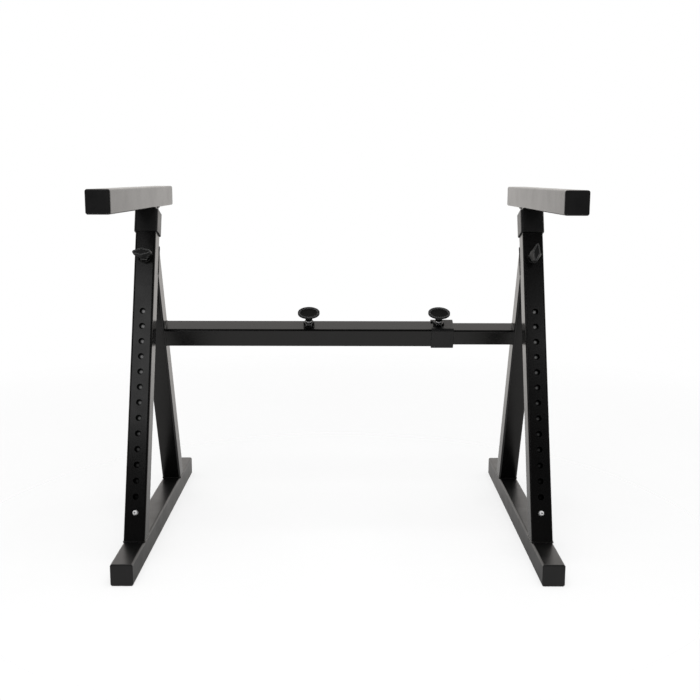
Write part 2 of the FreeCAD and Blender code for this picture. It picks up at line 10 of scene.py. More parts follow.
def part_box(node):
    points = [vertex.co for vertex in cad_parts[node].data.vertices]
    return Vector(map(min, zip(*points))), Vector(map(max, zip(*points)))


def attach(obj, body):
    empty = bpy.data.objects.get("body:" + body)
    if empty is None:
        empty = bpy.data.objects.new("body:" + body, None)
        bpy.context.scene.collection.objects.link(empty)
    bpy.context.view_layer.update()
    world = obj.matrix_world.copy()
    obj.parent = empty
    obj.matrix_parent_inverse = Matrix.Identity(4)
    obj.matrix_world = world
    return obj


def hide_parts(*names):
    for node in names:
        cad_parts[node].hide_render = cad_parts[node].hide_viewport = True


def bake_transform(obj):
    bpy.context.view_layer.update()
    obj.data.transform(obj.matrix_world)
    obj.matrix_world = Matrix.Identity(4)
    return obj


# Z-style keyboard stand, in metres: +Z up, -Y the front, +X the player's right
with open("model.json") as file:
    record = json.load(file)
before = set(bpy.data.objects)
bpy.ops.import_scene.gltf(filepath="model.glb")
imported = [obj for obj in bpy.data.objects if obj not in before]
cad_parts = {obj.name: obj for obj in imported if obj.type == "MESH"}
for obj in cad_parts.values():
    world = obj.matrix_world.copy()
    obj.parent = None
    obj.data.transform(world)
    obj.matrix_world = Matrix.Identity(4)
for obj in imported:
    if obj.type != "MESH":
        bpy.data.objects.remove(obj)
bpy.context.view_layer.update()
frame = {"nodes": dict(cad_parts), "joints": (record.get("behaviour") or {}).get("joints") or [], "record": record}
joints = {joint["name"]: joint for joint in frame["joints"]}
nodes = frame["nodes"]

SIDES = {"left": -1, "right": 1}
TUBE_SIDE = 0.035
TUBE_CORNER = 0.0035
SLIDER_SIDE = 0.030
SLIDER_CORNER = 0.003
HOLE_PITCH = 0.02575
HOLE_COUNT = 14
X_AXIS = Vector((1, 0, 0))
Y_AXIS = Vector((0, 1, 0))
Z_AXIS = Vector((0, 0, 1))


def axis_of(joint):
    """The direction in which a joint slides, or about which it turns."""
    return Vector(joints[joint]["axis"])


def place_of(joint):
    """A point on a joint's axis."""
    return Vector(joints[joint]["pos_m"])


def span(node, direction):
    """How far a carried-over node reaches along a direction, from the origin."""
    reaches = [vertex.co.dot(direction) for vertex in nodes[node].data.vertices]
    return min(reaches), max(reaches)


def middle(node, direction):
    """The middle of a carried-over node's reach along a direction."""
    return sum(span(node, direction)) / 2


def turned(node, joint):
    """The foot of a turning node on its joint's axis, that axis, and the node's length along it."""
    axis = axis_of(joint)
    place = place_of(joint)
    low, high = span(node, axis)
    return place + axis * (low - place.dot(axis)), axis, high - low


# Camera
CAMERA_PLACE = (0.0123, -1.7128, 0.6171)
CAMERA_PITCH = math.radians(9.817)
CAMERA_YAW = math.radians(0.213)
CAMERA_ROLL = math.radians(0.147)
SENSOR_WIDTH = 36.0
FOCAL_SHARE = 1000 / 700


def add_camera():
    """The photograph's viewpoint; the focal length is a share of the picture's width."""
    data = bpy.data.cameras.new("camera")
    data.sensor_width = SENSOR_WIDTH
    data.lens = SENSOR_WIDTH * FOCAL_SHARE
    camera = bpy.data.objects.new("camera", data)
    turn = Matrix.Rotation(-CAMERA_YAW, 4, "Z")
    tip = Matrix.Rotation(math.pi / 2 - CAMERA_PITCH, 4, "X")
    roll = Matrix.Rotation(CAMERA_ROLL, 4, "Z")
    camera.matrix_world = Matrix.Translation(CAMERA_PLACE) @ turn @ tip @ roll
    bpy.context.scene.collection.objects.link(camera)
    bpy.context.scene.camera = camera


# Shader nodes, whose owner is a material or the world; most noise lies between its low and its high
NOISE_LOW = 0.3
NOISE_HIGH = 0.7
BEVEL_SAMPLES = 6
EDGE_FLAT = 0.97
EDGE_SHARP = 0.80


def grey(level):
    """An opaque grey."""
    return (level, level, level, 1.0)


def new_material(name):
    """A material with a plain shader, to be fed."""
    material = bpy.data.materials.new(name)
    material.use_nodes = True
    return material


def shader(material):
    """The shader of a material's surface."""
    return material.node_tree.nodes["Principled BSDF"]


def add_node(owner, kind, **settings):
    """A new node with the given settings."""
    node = owner.node_tree.nodes.new(kind)
    for name, setting in settings.items():
        setattr(node, name, setting)
    return node


def feed(owner, socket, source):
    """Link an output to an input, or set the input to a number, vector or colour."""
    if isinstance(source, bpy.types.NodeSocket):
        owner.node_tree.links.new(source, socket)
    else:
        socket.default_value = source


def arithmetic(owner, operation, first, second=None):
    """One operation on a socket and, where it takes two, a number or another socket."""
    node = add_node(owner, "ShaderNodeMath", operation=operation)
    feed(owner, node.inputs[0], first)
    if second is not None:
        feed(owner, node.inputs[1], second)
    return node.outputs["Value"]


def noise(owner, scale, detail=3.0, roughness=0.5, stretch=(1, 1, 1)):
    """Noise in metres of the object's own space; stretch squeezes it along the axes."""
    coords = add_node(owner, "ShaderNodeTexCoord")
    mapping = add_node(owner, "ShaderNodeMapping")
    texture = add_node(owner, "ShaderNodeTexNoise")
    feed(owner, mapping.inputs["Scale"], stretch)
    feed(owner, mapping.inputs["Vector"], coords.outputs["Object"])
    feed(owner, texture.inputs["Vector"], mapping.outputs["Vector"])
    feed(owner, texture.inputs["Scale"], scale)
    feed(owner, texture.inputs["Detail"], detail)
    feed(owner, texture.inputs["Roughness"], roughness)
    return texture.outputs["Fac"]


def spread(owner, source, low, high, start=NOISE_LOW, end=NOISE_HIGH, interpolation="LINEAR"):
    """Go from low to high, numbers or sockets, while source goes from start to end."""
    node = add_node(owner, "ShaderNodeMapRange", interpolation_type=interpolation)
    feed(owner, node.inputs["Value"], source)
    feed(owner, node.inputs["From Min"], start)
    feed(owner, node.inputs["From Max"], end)
    feed(owner, node.inputs["To Min"], low)
    feed(owner, node.inputs["To Max"], high)
    return node.outputs["Result"]


def tint(owner, factor, first, second):
    """A colour between two, each a colour or a socket."""
    node = add_node(owner, "ShaderNodeMix", data_type="RGBA")
    feed(owner, node.inputs["A"], first)
    feed(owner, node.inputs["B"], second)
    feed(owner, node.inputs["Factor"], factor)
    return node.outputs["Result"]


def mottled(owner, scale, dark, light, detail=4.0):
    """A colour that wanders from dark to light in soft clouds."""
    cloud = noise(owner, scale, detail=detail)
    return tint(owner, spread(owner, cloud, 0.0, 1.0), dark, light)


def edge_mask(material, reach):
    """One along sharp edges, zero on the flats beyond reach."""
    bevel = add_node(material, "ShaderNodeBevel", samples=BEVEL_SAMPLES)
    geometry = add_node(material, "ShaderNodeNewGeometry")
    dot = add_node(material, "ShaderNodeVectorMath", operation="DOT_PRODUCT")
    feed(material, bevel.inputs["Radius"], reach)
    feed(material, dot.inputs[0], bevel.outputs["Normal"])
    feed(material, dot.inputs[1], geometry.outputs["Normal"])
    return spread(material, dot.outputs["Value"], 0.0, 1.0, EDGE_FLAT, EDGE_SHARP)


def bump(material, height, distance, strength):
    """The surface's normal, tilted by a relief of the given height."""
    node = add_node(material, "ShaderNodeBump")
    feed(material, node.inputs["Distance"], distance)
    feed(material, node.inputs["Strength"], strength)
    feed(material, node.inputs["Height"], height)
    return node.outputs["Normal"]


# Materials: colours from dark to light, roughness from smooth to rough
PAINT_CLOUDS = 9.0
PAINT_DARK = (0.0018, 0.0018, 0.0019, 1.0)
PAINT_LIGHT = (0.0030, 0.0029, 0.0028, 1.0)
# Edge colours: lighter than the paint, partly rubbing and partly a painted edge highlight; the pale bare nut edges
# also stand in for glints
PAINT_WORN_AND_LIT_EDGE = grey(0.008)
PAINT_CHIPPED_AND_GLINT = grey(0.48)
PAINT_EDGE = 0.0016
SATIN = (0.17, 0.24)
SCUFFED = (0.28, 0.37)
METAL_CLOUDS = 180.0
OILED_DARK = (0.0025, 0.0025, 0.0026, 1.0)
OILED_LIGHT = grey(0.0045)
OILED = (0.18, 0.28)
DRAWN_ALONG_Z = (1, 1, 0.15)
DRAWN_ACROSS_X = (1, 0.15, 0.15)
NYLON_DARK = (0.62, 0.60, 0.54, 1.0)
NYLON_LIGHT = (0.72, 0.70, 0.64, 1.0)
NYLON_SATIN = (0.38, 0.5)

# Painted highlights on the inner posts: pale spots behind the snap holes and on the rear faces in line with them
SPOT_HIGHLIGHT_COLOUR = grey(0.20)
SPOT_METALLIC = 0.2
SPOT_BRIGHT = 0.0012
SPOT_EDGE = 0.0036
SPOT_INWARD = 0.0013
SPOT_DOWN = 0.0006
SPOT_ROW = (HOLE_COUNT - 1) * HOLE_PITCH

# Nodes whose finish differs from the rest of their slot
OWN_FINISHES = {"clamp_nut": "nut_paint", "foot_tube": "foot_paint"}


def powder_coat(name, edge=PAINT_WORN_AND_LIT_EDGE, bare=False, roughness=SATIN):
    """Black paint on steel: orange peel, handling marks, and edges drawn lighter or bare, partly as wear and
    partly as a painted edge highlight.
    """
    material = new_material(name)
    surface = shader(material)
    paint = mottled(material, PAINT_CLOUDS, PAINT_DARK, PAINT_LIGHT)
    # Edges drawn lighter: partly wear, partly a painted edge highlight
    worn_and_lit = edge_mask(material, PAINT_EDGE)
    feed(material, surface.inputs["Base Color"], tint(material, worn_and_lit, paint, edge))
    if bare:
        feed(material, surface.inputs["Metallic"], worn_and_lit)
    smear = noise(material, scale=28.0, detail=6.0, roughness=0.6)
    feed(material, surface.inputs["Roughness"], spread(material, smear, *roughness))
    peel = noise(material, scale=620.0, detail=2.0)
    relief = bump(material, peel, distance=0.00025, strength=0.04)
    feed(material, surface.inputs["Normal"], relief)
    return material


def moulded_plastic(name, dark, light, edge, edge_reach, roughness, gloss, grain_scale):
    """Black moulded plastic with a spark-eroded grain, and edges drawn lighter: partly rubbing, partly a painted
    edge highlight.
    """
    material = new_material(name)
    surface = shader(material)
    surface.inputs["Specular IOR Level"].default_value = gloss
    cloud = noise(material, scale=40.0, detail=4.0)
    body = tint(material, spread(material, cloud, 0.0, 1.0), dark, light)
    # Edges drawn lighter: partly rubbing, partly a painted highlight along the rims
    rubbed_and_lit = edge_mask(material, edge_reach)
    feed(material, surface.inputs["Base Color"], tint(material, rubbed_and_lit, body, edge))
    feed(material, surface.inputs["Roughness"], spread(material, cloud, *roughness))
    pits = noise(material, scale=grain_scale, detail=3.0, roughness=0.6)
    relief = bump(material, pits, distance=0.00015, strength=0.08)
    feed(material, surface.inputs["Normal"], relief)
    return material


def add_scratches(material, stretch, roughness):
    """Fine drawn scratches, in the gloss and in the relief."""
    surface = shader(material)
    lines = noise(material, scale=900.0, detail=4.0, stretch=stretch)
    feed(material, surface.inputs["Roughness"], spread(material, lines, *roughness))
    relief = bump(material, lines, distance=0.00004, strength=0.1)
    feed(material, surface.inputs["Normal"], relief)


def bright_metal(name, dark, light, roughness, stretch, metallic=1.0):
    """Plated or bare steel with drawn scratches; dull plating scatters, so it is less metallic."""
    material = new_material(name)
    surface = shader(material)
    surface.inputs["Metallic"].default_value = metallic
    feed(material, surface.inputs["Base Color"], mottled(material, METAL_CLOUDS, dark, light))
    add_scratches(material, stretch, roughness)
    return material


def painted_hole_highlights(material):
    """Painted highlight: one in the middle of the top hole's spot, less out from it and down the row, front and
    rear alike.
    """
    post_axis = axis_of("left_height_slide")
    post_middle = abs(place_of("left_clamp_turn").x)
    coords = add_node(material, "ShaderNodeTexCoord")
    parts = add_node(material, "ShaderNodeSeparateXYZ")
    along = add_node(material, "ShaderNodeVectorMath", operation="DOT_PRODUCT")
    feed(material, parts.inputs["Vector"], coords.outputs["Object"])
    feed(material, along.inputs[0], coords.outputs["Object"])
    feed(material, along.inputs[1], post_axis)
    outward = arithmetic(material, "ABSOLUTE", parts.outputs["X"])
    across = arithmetic(material, "SUBTRACT", outward, post_middle - SPOT_INWARD)
    lowest = middle("left_snap_button", post_axis) - SPOT_DOWN
    height = arithmetic(material, "SUBTRACT", along.outputs["Value"], lowest)
    nearest = arithmetic(material, "PINGPONG", height, HOLE_PITCH / 2)
    offset = add_node(material, "ShaderNodeCombineXYZ")
    distance = add_node(material, "ShaderNodeVectorMath", operation="LENGTH")
    feed(material, offset.inputs["X"], across)
    feed(material, offset.inputs["Y"], nearest)
    feed(material, distance.inputs[0], offset.outputs["Vector"])
    spot = spread(material, distance.outputs["Value"], 1.0, 0.0, SPOT_BRIGHT, SPOT_EDGE)
    fade = spread(material, height, 0.0, 1.0, 0.0, SPOT_ROW)
    return arithmetic(material, "MULTIPLY", spot, fade)


def exposed_steel(name):
    """Dark oiled steel tube, with a pale painted highlight behind each snap hole, brightest at the top."""
    material = new_material(name)
    surface = shader(material)
    oiled = mottled(material, METAL_CLOUDS, OILED_DARK, OILED_LIGHT)
    # A painted highlight: pale, less metallic spots behind the snap holes, brightest at the top
    painted_highlight = painted_hole_highlights(material)
    feed(material, surface.inputs["Base Color"], tint(material, painted_highlight, oiled, SPOT_HIGHLIGHT_COLOUR))
    metallic = spread(material, painted_highlight, 1.0, SPOT_METALLIC, 0.0, 1.0)
    feed(material, surface.inputs["Metallic"], metallic)
    add_scratches(material, DRAWN_ALONG_Z, OILED)
    return material


def nylon(name):
    """Milky nylon of the screws' soft tips."""
    material = new_material(name)
    surface = shader(material)
    cloud = noise(material, scale=300.0)
    body = tint(material, spread(material, cloud, 0.0, 1.0), NYLON_DARK, NYLON_LIGHT)
    feed(material, surface.inputs["Base Color"], body)
    feed(material, surface.inputs["Roughness"], spread(material, cloud, *NYLON_SATIN))
    return material


def make_materials():
    """The record's material slots, each with its finish, and the finishes of single nodes."""
    return {
        "black_paint": powder_coat("powder_coat"),
        "foot_paint": powder_coat("foot_paint", roughness=SCUFFED),
        # Nut edges chipped bare and pale: wear, and a painted glint on the corners
        "nut_paint": powder_coat("nut_paint", edge=PAINT_CHIPPED_AND_GLINT, bare=True),
        "black_plastic": moulded_plastic(
            "black_plastic",
            dark=(0.0075, 0.0075, 0.0078, 1.0),
            light=(0.0105, 0.0105, 0.0107, 1.0),
            edge=grey(0.02),
            edge_reach=0.0009,
            roughness=(0.30, 0.38),
            gloss=0.42,
            grain_scale=2600.0,
        ),
        # Darker than the other black plastic, a painted shade on the crossbar knobs; the pale edges are a painted
        # highlight round the cap rims
        "knob_plastic": moulded_plastic(
            "knob_plastic",
            dark=(0.0018, 0.0018, 0.0019, 1.0),
            light=grey(0.003),
            edge=grey(0.13),
            edge_reach=0.0024,
            roughness=(0.56, 0.66),
            gloss=0.05,
            grain_scale=1800.0,
        ),
        # Lighter than the other black plastic, a painted light on the wing knobs' faces; the pale edges are a
        # painted highlight along their rims
        "wing_plastic": moulded_plastic(
            "wing_plastic",
            dark=(0.012, 0.012, 0.0122, 1.0),
            light=grey(0.016),
            edge=grey(0.22),
            edge_reach=0.0012,
            roughness=(0.44, 0.52),
            gloss=0.3,
            grain_scale=2600.0,
        ),
        "zinc": bright_metal(
            "zinc",
            dark=(0.88, 0.88, 0.89, 1.0),
            light=grey(0.95),
            roughness=(0.12, 0.22),
            stretch=DRAWN_ALONG_Z,
            metallic=0.40,
        ),
        "post_steel": exposed_steel("post_steel"),
        "spring_steel": bright_metal(
            "spring_steel",
            dark=(0.22, 0.23, 0.25, 1.0),
            light=(0.33, 0.34, 0.36, 1.0),
            roughness=(0.25, 0.40),
            stretch=DRAWN_ACROSS_X,
        ),
        "nylon": nylon("nylon"),
    }


def dress_frame(materials):
    """Give every carried-over node the material of its slot, or its own finish."""
    for subpart in frame["record"]["subparts"]:
        node = subpart["node"]
        finish = subpart["material_slot"]
        for part, own_finish in OWN_FINISHES.items():
            if part in node:
                finish = own_finish
        mesh = nodes[node].data
        mesh.materials.clear()
        mesh.materials.append(materials[finish])


# Pieces that the scene adds
SHARP_ANGLE = math.radians(30)


def add_piece(name, build, body, slot, materials, sharp=False):
    """A mesh piece that build fills in, smooth or with its sharp edges kept, riding on a body."""
    mesh = bpy.data.meshes.new(name)
    shape = bmesh.new()
    build(shape)
    bmesh.ops.recalc_face_normals(shape, faces=shape.faces)
    shape.to_mesh(mesh)
    shape.free()
    mesh.shade_smooth()
    if sharp:
        mesh.set_sharp_from_angle(angle=SHARP_ANGLE)
    mesh.materials.append(materials[slot])
    piece = bpy.data.objects.new(name, mesh)
    bpy.context.scene.collection.objects.link(piece)
    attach(piece, body)
    return piece


def skin(shape, rings, closed):
    """Join rings of vertices into a tube, capped at its ends unless it is closed on itself."""
    count = len(rings[0])
    pairs = list(zip(rings, rings[1:]))
    if closed:
        pairs.append((rings[-1], rings[0]))
    else:
        shape.faces.new(rings[0])
        shape.faces.new(rings[-1])
    for first, second in pairs:
        for i in range(count):
            j = (i + 1) % count
            shape.faces.new((first[i], first[j], second[j], second[i]))


# Weld beads
WELD_RADIUS = 0.0017
WELD_SINK = 0.0006
WELD_STEP = 0.0006
WELD_RING = 10
RIPPLE_LENGTH = 0.0026
RIPPLE_DEPTH = 0.14
SWAY_DEPTH = 0.04
SWAY_LONG = 5
SWAY_SHORT = 8
SWAY_OFFSET = 1.0
END_SIZE = 0.35
END_GROWTH = 0.25
NUT_WELD_RADIUS = 0.0013
NUT_WELD_CENTRE = 0.0098
BAR_TUBES = {"left": (TUBE_SIDE, TUBE_CORNER), "right": (SLIDER_SIDE, SLIDER_CORNER)}
WELDED_NUTS = {
    "left_clamp_nut": ("left_clamp_turn", "left_frame"),
    "right_clamp_nut": ("right_clamp_turn", "right_frame"),
    "crossbar_clamp_nut_a": ("width_turn_a", "left_frame"),
}


def rounded_rectangle(centre, u, v, half_u, half_v, corner):
    """Evenly spaced points round a rounded rectangle in the plane of u and v."""
    arc = corner * math.pi / 2
    sides = []
    for quarter in range(4):
        angle = quarter * math.pi / 2
        cos = round(math.cos(angle))
        sin = round(math.sin(angle))
        reach, half = (half_u, half_v) if quarter % 2 == 0 else (half_v, half_u)
        sides.append((cos, sin, reach, half, 2 * (half - corner)))
    total = sum(side[-1] for side in sides) + 4 * arc
    count = round(total / WELD_STEP)
    points = []
    for i in range(count):
        run = total * i / count
        for cos, sin, reach, half, straight in sides:
            if run <= straight:
                a = reach
                b = -half + corner + run
                break
            run -= straight
            if run <= arc:
                angle = run / corner
                a = reach - corner + corner * math.cos(angle)
                b = half - corner + corner * math.sin(angle)
                break
            run -= arc
        points.append(centre + u * (a * cos - b * sin) + v * (a * sin + b * cos))
    return points


def line_points(corners):
    """Evenly spaced points along straight runs."""
    points = []
    for start, end in zip(corners, corners[1:]):
        steps = max(1, round((end - start).length / WELD_STEP))
        points += [start.lerp(end, i / steps) for i in range(steps)]
    return points + [corners[-1]]


def on_line(point, direction, plane_point, plane_normal):
    """Where a line meets a plane."""
    distance = (plane_point - point).dot(plane_normal) / direction.dot(plane_normal)
    return point + direction * distance


def cut_half(axis, direction, side):
    """Half the length, along direction, of a square tube's end cut in a plane that holds X."""
    return side / 2 / abs(direction.dot(axis.cross(X_AXIS)))


def cut_seam(point, axis, plane_point, normal, along):
    """The seam round the end of an outer tube, cut in a plane that holds X and along."""
    centre = on_line(point, axis, plane_point, normal)
    half_along = cut_half(axis, along, TUBE_SIDE)
    return rounded_rectangle(centre, X_AXIS, along, TUBE_SIDE / 2 - WELD_SINK, half_along, TUBE_CORNER)


def bead(shape, points, normal, radius, closed):
    """A weld bead along a path that lies square to normal, rippled like laid weld."""
    count = len(points)
    ripples = round(count * WELD_STEP / RIPPLE_LENGTH)
    rings = []
    for i, point in enumerate(points):
        after = points[(i + 1) % count] if closed or i + 1 < count else point
        before = points[i - 1] if closed or i > 0 else point
        along = (after - before).normalized()
        across = along.cross(normal)
        turn = 2 * math.pi * i / count
        ripple = abs(math.sin(turn / 2 * ripples))
        sway = math.sin(SWAY_LONG * turn) + math.sin(SWAY_SHORT * turn + SWAY_OFFSET)
        size = radius * (1 - RIPPLE_DEPTH * (1 - ripple) + SWAY_DEPTH * sway)
        if not closed:
            size *= min(1.0, END_SIZE + END_GROWTH * min(i, count - 1 - i))
        ring = []
        for k in range(WELD_RING):
            angle = 2 * math.pi * k / WELD_RING
            spoke = across * math.cos(angle) + normal * math.sin(angle)
            ring.append(shape.verts.new(point + spoke * size))
        rings.append(ring)
    skin(shape, rings, closed)


def add_weld(name, points, normal, body, materials, radius=WELD_RADIUS, closed=True):
    """A painted bead along a path."""
    build = partial(bead, points=points, normal=normal, radius=radius, closed=closed)
    add_piece(name, build, body, "black_paint", materials)


def add_frame_welds(materials):
    """Beads where the upright and the strut meet the foot, each other and the crossbar."""
    foot_top = Vector((0, 0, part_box("left_foot_tube")[1].z))
    strut_axis = axis_of("width_turn_a")
    bar = place_of("width_turn_a")
    bar_front = strut_axis.cross(X_AXIS)
    for side, sign in SIDES.items():
        post_axis = axis_of(f"{side}_height_slide")
        out = axis_of(f"{side}_clamp_turn")
        clamp = place_of(f"{side}_clamp_turn")
        strut = Vector((clamp.x, bar.y, bar.z))
        upright_back = clamp - out * (TUBE_SIDE / 2)
        bar_side, bar_corner = BAR_TUBES[side]
        bar_half = bar_side / 2 - WELD_SINK
        bar_end = strut - X_AXIS * (sign * TUBE_SIDE / 2)
        bar_seam = rounded_rectangle(bar_end, strut_axis, bar_front, bar_half, bar_half, bar_corner)
        seams = {
            "upright_foot": (cut_seam(clamp, post_axis, foot_top, Z_AXIS, Y_AXIS), Z_AXIS),
            "strut_foot": (cut_seam(strut, strut_axis, foot_top, Z_AXIS, Y_AXIS), Z_AXIS),
            "strut_upright": (cut_seam(strut, strut_axis, upright_back, out, post_axis), out),
            "crossbar_strut": (bar_seam, X_AXIS),
        }
        for seam, (points, normal) in seams.items():
            add_weld(f"{side}_{seam}_weld", points, normal, f"{side}_frame", materials)


def add_arm_welds(materials):
    """Beads round the rear half of each inner post, under its arm, where the collar leaves room."""
    for side in SIDES:
        post_axis = axis_of(f"{side}_height_slide")
        arm_under = Vector((0, 0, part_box(f"{side}_support_arm")[0].z))
        centre = on_line(place_of(f"{side}_clamp_turn"), post_axis, arm_under, Z_AXIS)
        half_x = X_AXIS * (SLIDER_SIDE / 2)
        rear = Y_AXIS * cut_half(post_axis, Y_AXIS, SLIDER_SIDE)
        corners = [centre - half_x, centre - half_x + rear, centre + half_x + rear, centre + half_x]
        points = line_points(corners)
        add_weld(f"{side}_post_arm_weld", points, Z_AXIS, f"{side}_arm", materials, closed=False)


def add_nut_welds(materials):
    """A thin bead round the foot of each nut that stands on open tube."""
    round_foot = (NUT_WELD_CENTRE, NUT_WELD_CENTRE, NUT_WELD_CENTRE)
    for nut, (joint, body) in WELDED_NUTS.items():
        axis = axis_of(joint)
        foot = place_of(joint) + axis * (TUBE_SIDE / 2)
        points = rounded_rectangle(foot, X_AXIS, axis.cross(X_AXIS), *round_foot)
        add_weld(f"{nut}_weld", points, axis, body, materials, radius=NUT_WELD_RADIUS)


# Clamp screws
THREAD_PITCH = 0.0015
THREAD_CREST = 0.00496
THREAD_ROOT = 0.00408
THREAD_COLUMNS = 32
THREAD_ROWS_PER_TURN = 6
FLANK_SLOPE = 2.6
FLANK_START = 0.15
SCREWS = {
    "left_height_screw": ("left_clamp_turn", "left_clamp_knob"),
    "right_height_screw": ("right_clamp_turn", "right_clamp_knob"),
    "crossbar_screw_a": ("width_turn_a", "width_knob_a"),
    "crossbar_screw_b": ("width_turn_b", "width_knob_b"),
}


def thread(shape, foot, axis, length):
    """A right-hand thread along axis from foot."""
    side = axis.cross(X_AXIS)
    rows = round(length / THREAD_PITCH * THREAD_ROWS_PER_TURN)
    rings = []
    for row in range(rows + 1):
        height = length * row / rows
        ring = []
        for column in range(THREAD_COLUMNS):
            share = column / THREAD_COLUMNS
            phase = (height / THREAD_PITCH - share) % 1.0
            flank = min(1.0, max(0.0, FLANK_SLOPE * abs(phase - 0.5) - FLANK_START))
            radius = THREAD_ROOT + (THREAD_CREST - THREAD_ROOT) * flank
            angle = 2 * math.pi * share
            spoke = X_AXIS * math.cos(angle) - side * math.sin(angle)
            ring.append(shape.verts.new(foot + axis * height + spoke * radius))
        rings.append(ring)
    skin(shape, rings, False)


def add_screws(materials):
    """Threaded screws in place of the plain ones."""
    for node, (joint, body) in SCREWS.items():
        foot, axis, length = turned(node, joint)
        build = partial(thread, foot=foot, axis=axis, length=length)
        piece = add_piece(f"{node}_thread", build, body, "zinc", materials)
        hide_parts(node)


# Knobs, measured from the foot of the hub or neck; the flare is pairs of radius and height
KNOB_SEGMENTS = 96
CHAMFER = 0.00015
BORE_RADIUS = 0.00508
BORE_DEPTH = 0.012
HUB_RADIUS = 0.008
HUB_LENGTH = 0.008
WING_BACK = (0.031, 0.019)
WING_FRONT = (0.030, 0.0125)
WING_NOSE = 0.003
WING_WAIST = 0.005
WING_BAND = 0.0008
WING_RIM = 0.0015
WING_RECESS = 0.0012
WING_TURN = {"left": math.radians(3), "right": math.radians(80.5)}
NECK_RADIUS = 0.00625
NECK_STRAIGHT = 0.0072
NECK_FLARE = ((0.00675, 0.009), (0.009375, 0.01035))
CAP_RADIUS = 0.0195
CAP_BOTTOM = 0.013
CAP_RIM = 0.0030
CAP_DISH = 0.0014


def circle_ring(shape, centre, u, v, radius):
    """A ring of vertices round a circle in the plane of u and v."""
    ring = []
    for i in range(KNOB_SEGMENTS):
        angle = 2 * math.pi * i / KNOB_SEGMENTS
        ring.append(shape.verts.new(centre + (u * math.cos(angle) + v * math.sin(angle)) * radius))
    return ring


def lathe(shape, foot, axis, profile):
    """A turned solid from pairs of radius and height, its first and last rings closed."""
    side = axis.cross(X_AXIS)
    rings = [circle_ring(shape, foot + axis * height, X_AXIS, side, radius) for radius, height in profile]
    skin(shape, rings, False)


def lozenge_reach(angle, length, width, nose, waist):
    """Distance from a lozenge's middle to its outline, whose noses and waists are rounded."""
    reach = length / 2 - nose
    rise = width / 2 - waist
    facing = math.acos((waist - nose) / math.hypot(reach, rise)) - math.atan2(rise, reach)
    cos = abs(math.cos(angle))
    sin = abs(math.sin(angle))
    turn = math.atan2(sin, cos)
    if turn <= math.atan2(nose * math.sin(facing), reach + nose * math.cos(facing)):
        return reach * cos + math.sqrt(nose**2 - (reach * sin) ** 2)
    if turn >= math.atan2(rise + waist * math.sin(facing), waist * math.cos(facing)):
        return rise * sin + math.sqrt(waist**2 - (rise * cos) ** 2)
    return (reach * math.cos(facing) + nose) / math.cos(turn - facing)


def lozenge_ring(shape, centre, u, v, size, inset):
    """A ring of vertices round a lozenge, drawn in by inset."""
    length = size[0] - 2 * inset
    width = size[1] - 2 * inset
    ring = []
    for i in range(KNOB_SEGMENTS):
        angle = 2 * math.pi * i / KNOB_SEGMENTS
        reach = lozenge_reach(angle, length, width, WING_NOSE - inset, WING_WAIST - inset)
        ring.append(shape.verts.new(centre + (u * math.cos(angle) + v * math.sin(angle)) * reach))
    return ring


def wing(shape, foot, axis, up, turn, height):
    """A lozenge head that narrows to a rimmed front, on a round hub bored for its screw."""
    u = X_AXIS * math.cos(turn) + up * math.sin(turn)
    v = up * math.cos(turn) - X_AXIS * math.sin(turn)
    hub = [
        (BORE_RADIUS, BORE_DEPTH),
        (BORE_RADIUS, 0.0),
        (HUB_RADIUS - CHAMFER, 0.0),
        (HUB_RADIUS, CHAMFER),
        (HUB_RADIUS, HUB_LENGTH),
    ]
    head = [
        (WING_BACK, CHAMFER, HUB_LENGTH),
        (WING_BACK, 0.0, HUB_LENGTH + CHAMFER),
        (WING_BACK, 0.0, HUB_LENGTH + WING_BAND),
        (WING_FRONT, 0.0, height - CHAMFER),
        (WING_FRONT, CHAMFER, height),
        (WING_FRONT, WING_RIM, height),
        (WING_FRONT, WING_RIM + CHAMFER, height - WING_RECESS),
    ]
    rings = [circle_ring(shape, foot + axis * lift, u, v, radius) for radius, lift in hub]
    rings += [lozenge_ring(shape, foot + axis * lift, u, v, size, inset) for size, inset, lift in head]
    skin(shape, rings, False)


def mushroom(shape, foot, axis, height):
    """A dished cap with a crisp rim, flaring out of a neck bored for its screw."""
    dish = CAP_RADIUS - CAP_RIM
    profile = [
        (BORE_RADIUS, BORE_DEPTH),
        (BORE_RADIUS, 0.0),
        (NECK_RADIUS - CHAMFER, 0.0),
        (NECK_RADIUS, CHAMFER),
        (NECK_RADIUS, NECK_STRAIGHT),
        *NECK_FLARE,
        (CAP_RADIUS - CHAMFER, CAP_BOTTOM),
        (CAP_RADIUS, CAP_BOTTOM + CHAMFER),
        (CAP_RADIUS, height - CHAMFER),
        (CAP_RADIUS - CHAMFER, height),
        (dish, height),
        (dish - CHAMFER, height - CAP_DISH),
    ]
    lathe(shape, foot, axis, profile)


def add_knobs(materials):
    """Lozenge heads with tapered sides, and mushroom caps with a crisp rim, for the plainer ones."""
    for side in SIDES:
        node = f"{side}_height_knob"
        foot, axis, height = turned(node, f"{side}_clamp_turn")
        up = axis_of(f"{side}_height_slide")
        build = partial(wing, foot=foot, axis=axis, up=up, turn=WING_TURN[side], height=height)
        body = f"{side}_clamp_knob"
        piece = add_piece(f"{side}_wing_head", build, body, "wing_plastic", materials, sharp=True)
        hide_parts(node)
    for letter in "ab":
        node = f"crossbar_knob_{letter}"
        foot, axis, height = turned(node, f"width_turn_{letter}")
        build = partial(mushroom, foot=foot, axis=axis, height=height)
        body = f"width_knob_{letter}"
        piece = add_piece(f"mushroom_head_{letter}", build, body, "knob_plastic", materials, sharp=True)
        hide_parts(node)


